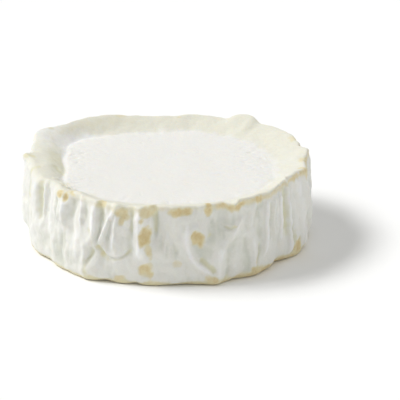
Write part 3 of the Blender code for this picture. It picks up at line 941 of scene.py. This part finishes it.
def top_folds(x, y):
    """Depth of the folds of the rim's slope: a bell curve of the distance to each line."""
    places = np.stack([x, y, 0.0 * x], axis=-1)
    x = x + 0.7 * noise(places, 2.6, 91)
    y = y + 0.7 * noise(places, 2.6, 92)
    depth = np.zeros_like(x)
    for (x0, y0), (x1, y1), half_width, deep in TOP_FOLDS:
        length = math.hypot(x1 - x0, y1 - y0)
        share = np.clip(((x - x0) * (x1 - x0) + (y - y0) * (y1 - y0)) / length**2, 0.0, 1.0)
        distance = np.hypot(x - x0 - share * (x1 - x0), y - y0 - share * (y1 - y0))
        depth = np.maximum(depth, deep * np.exp(-((distance / half_width) ** 2)))
    return depth


def slope_relief(form, angle, radius, height, row):
    """Soft lumps of the rim's slope, and the crumpled folds at the left of the front."""
    turn = np.radians(angle)
    x, y = radius * np.cos(turn), radius * np.sin(turn)
    places = np.stack([x, y, 0.0 * x], axis=-1)
    reach = smooth((row - CREST_ROW) / 5.0)
    lumps = 0.34 * layered_noise(places, 7.0, 3, 61) - 0.05 * np.abs(noise(places, 2.2, 64))
    middle, at_radius, size = CRUMPLE
    centre = at_radius * np.array([math.cos(math.radians(middle)), math.sin(math.radians(middle))])
    near = np.exp(-((x - centre[0]) ** 2 + (y - centre[1]) ** 2) / size**2)
    folds = np.abs(noise(np.stack([radius, angle * 0.35, 0.0 * x], axis=-1), 1.7, 67))
    return reach * (lumps + near * (0.5 - 1.5 * folds) - top_folds(x, y))


def rind_arrays(form):
    """Vertices in millimetres about the wheel's own axis, faces, and the four tones of each vertex."""
    angle, radius, height = side_rows(form)
    row = np.arange(radius.shape[0])[:, None] + 0.0 * radius
    top_row = FOOT_ROWS + WALL_ROWS
    on_wall = smooth((row - 1.0) / 4.0) * (1.0 - smooth((row - top_row) / (SHOULDER_ROWS + 3.0)))
    wrinkles = on_wall * form.fine_wrinkles(*form.wandered(angle, height))
    side_tone = side_tones(form, angle, radius, height, form.wall_relief(angle, height) + wrinkles)
    radius = radius + wrinkles - form.patch_depth * side_tone[..., 0] * (row < top_row + SHOULDER_ROWS)
    height = height + slope_relief(form, angle, radius, height, row)
    side = places_of(angle, radius, height)

    edge_ring = radius[-1], height[-1]
    top, top_tone = top_arrays(form, edge_ring)
    base, base_tone = base_arrays(form, side[0])
    vertices, faces = joined(side, top, base)
    tones = np.concatenate([side_tone.reshape(-1, 4), top_tone, base_tone])
    return vertices, faces, tones


def places_of(angle, radius, height):
    """Places across, in depth and up, from an angle, a radius and a height."""
    turn = np.radians(angle)
    return np.stack([radius * np.cos(turn), radius * np.sin(turn), height], axis=-1)


def top_arrays(form, edge_ring):
    """The plateau: its radius is the edge's radius times the share, and its height runs smoothly into
    the edge."""
    angle, share = top_grid()
    column = np.round(angle * COLUMNS / 360.0).astype(int) % COLUMNS
    edge_radius = form.plateau_edge(angle)
    radius = share * edge_radius
    turn = np.radians(angle)
    x, y = radius * np.cos(turn), radius * np.sin(turn)
    off_edge = radius - edge_radius
    rise = edge_ring[1][column] - (form.plateau_height - form.gutter(angle, 0.0 * angle))
    height = form.plateau_height - form.gutter(angle, off_edge) + rise * np.exp(-((off_edge / 4.0) ** 2))
    height = height + plateau_relief(form, x, y, share)
    places = np.stack([x, y, 0.0 * x], axis=-1)
    cream = np.clip(cream_tone(form, angle, radius, height) + 0.16 * noise(places, 6.0, 73), 0.0, 1.0)
    # Green at the top's left edge, partly its own tint and partly painted shade.
    olive = 0.7 * swell(angle, *GREEN_LEFT) * cream_tone(form, angle, radius, height)
    mottled = smooth(0.3 + noise(places, 3.2, 74)) * smooth((np.abs(x) - 24.0) / 12.0)
    marks = top_marks(x, y)
    # The folds are painted dark as their shade.
    olive = np.clip(olive + 0.7 * marks + 1.4 * top_folds(x, y), 0.0, 1.0)
    tones = np.stack([0.35 * marks, np.maximum(cream, 0.3 * mottled), olive, 0.35 * mottled], axis=-1)
    return np.stack([x, y, height], axis=-1), tones.reshape(-1, 4)


def base_arrays(form, edge):
    """The flat underside: rings that shrink evenly from the base's edge to a small hub."""
    share = np.linspace(1.0, BASE_HUB / form.foot_radius, BASE_ROWS + 1)[1:, None, None]
    rings = edge[None] * np.concatenate([share, share, 0.0 * share], axis=-1)
    tones = np.broadcast_to(np.array([0.3, 0.7, 0.2, 0.4]), (BASE_ROWS * COLUMNS + 1, 4))
    return rings, tones


def joined(side, top, base):
    """One closed mesh: the side's rows, the top's grid on its last row, and the base's rings on its first."""
    rows = side.shape[0]
    side_index = np.arange(rows * COLUMNS).reshape(rows, COLUMNS)
    angle, share = top_grid()
    column = np.round(angle * COLUMNS / 360.0).astype(int) % COLUMNS
    top_index = rows * COLUMNS + np.arange(top.shape[0] * top.shape[1]).reshape(top.shape[:2])
    top_index = np.where(share == 1.0, side_index[-1][column], top_index)
    base_first = rows * COLUMNS + top.shape[0] * top.shape[1]
    base_index = base_first + np.arange(BASE_ROWS * COLUMNS).reshape(BASE_ROWS, COLUMNS)
    base_index = np.concatenate([base_index[::-1], side_index[:1]])
    hub = base_first + BASE_ROWS * COLUMNS

    def quads(index, wrap):
        shifted = np.roll(index, -1, axis=1) if wrap else index[:, 1:]
        here = index if wrap else index[:, :-1]
        corners = [here[:-1], shifted[:-1], shifted[1:], here[1:]]
        return np.stack(corners, axis=-1).reshape(-1, 4)

    grid = quads(top_index.T, False)
    fan = np.stack([np.roll(base_index[0], -1), base_index[0], np.full(COLUMNS, hub)], axis=-1)
    vertices = np.concatenate([side.reshape(-1, 3), top.reshape(-1, 3), base.reshape(-1, 3), np.zeros((1, 3))])
    faces = np.concatenate([quads(side_index, True), grid, quads(base_index, True)])
    return vertices, (faces, fan)


def mesh_from(name, vertices, faces, tones):
    """A mesh with a smooth finish and the tones as a colour attribute. Nodes that no face uses are
    dropped."""
    quads, fan = faces
    used = np.unique(np.concatenate([quads.ravel(), fan.ravel()]))
    renumber = np.zeros(len(vertices), dtype=int)
    renumber[used] = np.arange(len(used))
    mesh = bpy.data.meshes.new(name)
    mesh.from_pydata(vertices[used] * MM, [], renumber[quads].tolist() + renumber[fan].tolist())
    colours = tones[used].astype(np.float32)
    layer = mesh.color_attributes.new(name="tones", type="FLOAT_COLOR", domain="POINT")
    layer.data.foreach_set("color", colours.ravel())
    mesh.shade_smooth()
    mesh.validate()
    return mesh


def own_axis(vertices):
    """Where the wheel's own axis stands once the wheel is centred on the solid's box, in millimetres."""
    low, high = (np.array(corner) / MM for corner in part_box(WHEEL))
    middle = (vertices.min(axis=0) + vertices.max(axis=0)) / 2.0
    return np.array([(low[0] + high[0]) / 2.0 - middle[0], (low[1] + high[1]) / 2.0 - middle[1], 0.0])


class Nodes:
    """Short calls for making and linking shader nodes."""

    def __init__(self, material):
        material.use_nodes = True
        self.tree = material.node_tree
        self.tree.nodes.clear()

    def add(self, kind, settings=None, **inputs):
        node = self.tree.nodes.new(kind)
        for key, value in (settings or {}).items():
            setattr(node, key, value)
        for key, value in inputs.items():
            socket = node.inputs[int(key[1:])] if key[0] == "i" and key[1:].isdigit() else node.inputs[key]
            if isinstance(value, bpy.types.NodeSocket):
                self.tree.links.new(value, socket)
            else:
                socket.default_value = value
        return node

    def noise(self, places, scale, detail, roughness=0.5):
        found = self.add("ShaderNodeTexNoise", Vector=places, Scale=scale, Detail=detail, Roughness=roughness)
        return found.outputs["Fac"]

    def blend(self, share, first, second):
        """A colour between first and second."""
        node = self.add("ShaderNodeMix", {"data_type": "RGBA"}, i0=share, i6=first, i7=second)
        return node.outputs[2]

    def maths(self, operation, *values):
        inputs = {f"i{number}": value for number, value in enumerate(values)}
        return self.add("ShaderNodeMath", {"operation": operation}, **inputs).outputs[0]

    def ramp(self, value, low, high):
        """0 at low and 1 at high, with an even S-curve between."""
        node = self.add(
            "ShaderNodeMapRange", {"interpolation_type": "SMOOTHSTEP"}, i0=value, i1=low, i2=high, i3=0.0, i4=1.0
        )
        return node.outputs[0]


def rind_material(sizes, colours):
    """White bloom, cream where it is thin, greenish with painted shade in the grooves, greyer with painted shade in
    the hollows, whiter with painted highlight on the ridges, and bare beige rind in the patches. Upward-facing places
    take a lighter white than the walls, whose darker white is in part painted shade. Noise in object space breaks
    up every edge between them."""
    material = bpy.data.materials.new("white_rind")
    nodes = Nodes(material)
    places = nodes.add("ShaderNodeTexCoord").outputs["Object"]
    attribute = nodes.add("ShaderNodeAttribute", {"attribute_name": "tones"})
    split = nodes.add("ShaderNodeSeparateColor", Color=attribute.outputs["Color"])
    bare, cream, olive, grey = (*split.outputs[:3], attribute.outputs["Alpha"])
    normal = nodes.add("ShaderNodeNewGeometry").outputs["Normal"]
    facing = nodes.add("ShaderNodeSeparateXYZ", Vector=normal).outputs["Z"]

    cloud = nodes.noise(places, 160.0, 4.0, 0.6)
    blotch = nodes.noise(places, 420.0, 3.0, 0.55)
    speck = nodes.noise(places, 900.0, 3.0, 0.6)
    fine = nodes.noise(places, 1.0 / sizes.grain_size, 3.0, 0.65)

    def shaken(tone, noise, amount):
        return nodes.maths("MULTIPLY_ADD", nodes.maths("SUBTRACT", noise, 0.5), amount, tone)

    # Upward-facing places take the plateau's lighter white; the walls' darker white is in part painted shade.
    upward = nodes.ramp(facing, 0.5, 0.9)
    # Painted shade in the hollows.
    hollow = nodes.ramp(shaken(grey, blotch, 0.7), 0.15, 1.1)
    bloom = nodes.blend(hollow, tuple(colours.bloom), tuple(colours.hollow))
    white = nodes.blend(upward, bloom, tuple(colours.plateau))
    # Painted highlight where the grey tone is below 0.
    painted_highlight = nodes.ramp(nodes.maths("MULTIPLY", shaken(grey, blotch, 0.4), -1.0), 0.0, 0.9)
    white = nodes.blend(painted_highlight, white, tuple(colours.painted_highlight))
    colour = nodes.blend(nodes.ramp(shaken(cream, cloud, 0.6), 0.1, 0.95), white, tuple(colours.cream))
    # Green tint, and painted shade in the grooves and folds.
    colour = nodes.blend(nodes.ramp(shaken(olive, blotch, 0.5), 0.12, 1.0), colour, tuple(colours.olive))
    edge = shaken(shaken(bare, speck, 0.25), blotch, 0.3)
    deep = nodes.ramp(shaken(edge, blotch, 0.9), 0.45, 1.05)
    worn = nodes.blend(deep, tuple(colours.bare), tuple(colours.bare_deep))
    colour = nodes.blend(nodes.ramp(edge, 0.12, 0.8), colour, worn)
    dusty = nodes.blend(nodes.ramp(fine, 0.25, 0.75), (0.96, 0.96, 0.955, 1.0), (1.0, 1.0, 1.0, 1.0))
    multiply = {"data_type": "RGBA", "blend_type": "MULTIPLY"}
    tinted = nodes.add("ShaderNodeMix", multiply, i0=1.0, i6=colour, i7=dusty)

    felt = nodes.maths("ADD", nodes.maths("MULTIPLY", speck, 0.6), nodes.maths("MULTIPLY", fine, 0.5))
    bump = nodes.add("ShaderNodeBump", Height=felt, Strength=0.22, Distance=0.0004)
    shader = nodes.add("ShaderNodeBsdfPrincipled")
    nodes.tree.links.new(tinted.outputs[2], shader.inputs["Base Color"])
    nodes.tree.links.new(bump.outputs["Normal"], shader.inputs["Normal"])
    rough = nodes.maths("MULTIPLY_ADD", speck, 0.25, 0.62)
    nodes.tree.links.new(rough, shader.inputs["Roughness"])
    shader.inputs["Subsurface Weight"].default_value = 0.25
    shader.inputs["Subsurface Radius"].default_value = (1.0, 0.8, 0.55)
    shader.inputs["Subsurface Scale"].default_value = 0.0012
    shader.inputs["Specular IOR Level"].default_value = 0.25
    shader.inputs["Sheen Weight"].default_value = 0.12
    shader.inputs["Sheen Roughness"].default_value = 0.5
    out = nodes.add("ShaderNodeOutputMaterial")
    nodes.tree.links.new(shader.outputs[0], out.inputs["Surface"])
    return material


def floor_material(settings):
    """Matt white paper with a trace of unevenness."""
    material = bpy.data.materials.new("studio_floor")
    nodes = Nodes(material)
    places = nodes.add("ShaderNodeTexCoord").outputs["Object"]
    uneven = nodes.ramp(nodes.noise(places, 3.0, 2.0), 0.2, 0.8)
    pale = tuple(settings.floor_colour)
    paler = (*(min(1.0, part + 0.01) for part in pale[:3]), 1.0)
    shader = nodes.add("ShaderNodeBsdfPrincipled", Roughness=0.9)
    nodes.tree.links.new(nodes.blend(uneven, pale, paler), shader.inputs["Base Color"])
    shader.inputs["Specular IOR Level"].default_value = 0.1
    out = nodes.add("ShaderNodeOutputMaterial")
    nodes.tree.links.new(shader.outputs[0], out.inputs["Surface"])
    return material


def link(thing):
    """Puts an object in the scene."""
    bpy.context.scene.collection.objects.link(thing)
    return thing


class CHEESE_OT_rind(bpy.types.Operator):
    """Make the wheel's rind, with its pleats, folds, sunken top and bare patches"""

    bl_idname = "cheese.rind"
    bl_label = "Rind"

    def execute(self, context):
        scene = context.scene
        form = WheelForm(scene.rind_sizes)
        vertices, faces, tones = rind_arrays(form)
        axis = own_axis(vertices)
        mesh = mesh_from("rind", vertices + axis, faces, tones)
        rind = link(bpy.data.objects.new("rind", mesh))
        mesh.materials.append(rind_material(scene.rind_sizes, scene.rind_colours))
        scene["wheel_axis"] = (axis * MM).tolist()
        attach(rind, "root")
        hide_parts(WHEEL)
        return {"FINISHED"}


class CHEESE_OT_studio(bpy.types.Operator):
    """Make the pale floor, the soft lights and the camera"""

    bl_idname = "cheese.studio"
    bl_label = "Studio"

    def execute(self, context):
        scene = context.scene
        settings = scene.cheese_studio
        self.make_floor(settings)
        self.make_lights(scene, settings)
        self.make_camera(scene, settings)
        scene.view_settings.view_transform = "Standard"
        return {"FINISHED"}

    def make_floor(self, settings):
        """A square sheet, level with the wheel's base, in cells so that it isn't one huge face."""
        half = settings.floor_size / 2.0
        line = np.linspace(-half, half, 13)
        x, y = np.meshgrid(line, line, indexing="ij")
        places = np.stack([x, y, 0.0 * x], axis=-1).reshape(-1, 3)
        index = np.arange(len(places)).reshape(x.shape)
        corners = [index[:-1, :-1], index[1:, :-1], index[1:, 1:], index[:-1, 1:]]
        mesh = bpy.data.meshes.new("floor")
        mesh.from_pydata(places, [], np.stack(corners, axis=-1).reshape(-1, 4).tolist())
        mesh.materials.append(floor_material(settings))
        link(bpy.data.objects.new("floor", mesh))

    def make_lights(self, scene, settings):
        """Two soft suns from the left, a wider one from the front right, and an even white sky."""
        for name, turn in (("key_front", KEY_SPLIT), ("key_back", -KEY_SPLIT)):
            azimuth = settings.key_azimuth + turn
            self.make_sun(name, settings.key_strength / 2.0, settings.key_spread, azimuth, settings.key_elevation)
        self.make_sun("fill", settings.fill_strength, *FILL_SPREAD_AZIMUTH_ELEVATION)
        world = bpy.data.worlds.new("studio_sky")
        world.use_nodes = True
        nodes = world.node_tree.nodes
        nodes["Background"].inputs["Color"].default_value = tuple(settings.sky_colour)
        nodes["Background"].inputs["Strength"].default_value = settings.sky_strength
        scene.world = world

    def make_sun(self, name, strength, spread, azimuth, elevation):
        sun = bpy.data.lights.new(name, "SUN")
        sun.energy = strength
        sun.angle = spread
        lamp = link(bpy.data.objects.new(name, sun))
        level = math.cos(elevation)
        towards = Vector((level * math.cos(azimuth), level * math.sin(azimuth), math.sin(elevation)))
        lamp.rotation_euler = towards.to_track_quat("Z", "Y").to_euler()
        lamp.location = towards

    def make_camera(self, scene, settings):
        """The camera looks along +Y and down at its target, which is set from the wheel's own axis."""
        camera = link(bpy.data.objects.new("camera", bpy.data.cameras.new("camera")))
        camera.data.lens = settings.camera_lens
        camera.data.clip_end = 100.0
        tilt = settings.camera_elevation
        back = Vector((0.0, -math.cos(tilt), math.sin(tilt)))
        target = Vector(settings.target) + Vector(scene["wheel_axis"])
        camera.location = target + back * settings.camera_distance
        camera.rotation_euler = back.to_track_quat("Z", "Y").to_euler()
        scene.camera = camera


class CHEESE_PT_panel(bpy.types.Panel):
    """Makes the wheel and its studio, and holds their sizes and colours"""

    bl_idname = "CHEESE_PT_panel"
    bl_label = "Soft Cheese Wheel"
    bl_space_type = "VIEW_3D"
    bl_region_type = "UI"
    bl_category = "Cheese"

    def draw(self, context):
        scene = context.scene
        for operator in OPERATORS:
            self.layout.operator(operator.bl_idname)
        for group in (scene.rind_sizes, scene.rind_colours, scene.cheese_studio):
            box = self.layout.box()
            for name in group.bl_rna.properties.keys():
                if name not in ("rna_type", "name"):
                    box.prop(group, name)


GROUPS = {"rind_sizes": RindSizes, "rind_colours": RindColours, "cheese_studio": StudioSettings}
OPERATORS = (CHEESE_OT_rind, CHEESE_OT_studio)
CLASSES = (*GROUPS.values(), *OPERATORS, CHEESE_PT_panel)


def register():
    for kind in CLASSES:
        bpy.utils.register_class(kind)
    for name, group in GROUPS.items():
        setattr(bpy.types.Scene, name, PointerProperty(type=group))


def unregister():
    for name in GROUPS:
        delattr(bpy.types.Scene, name)
    for kind in reversed(CLASSES):
        bpy.utils.unregister_class(kind)


def main():
    register()
    bpy.ops.cheese.rind()
    bpy.ops.cheese.studio()


if __name__ == "__main__":
    main()
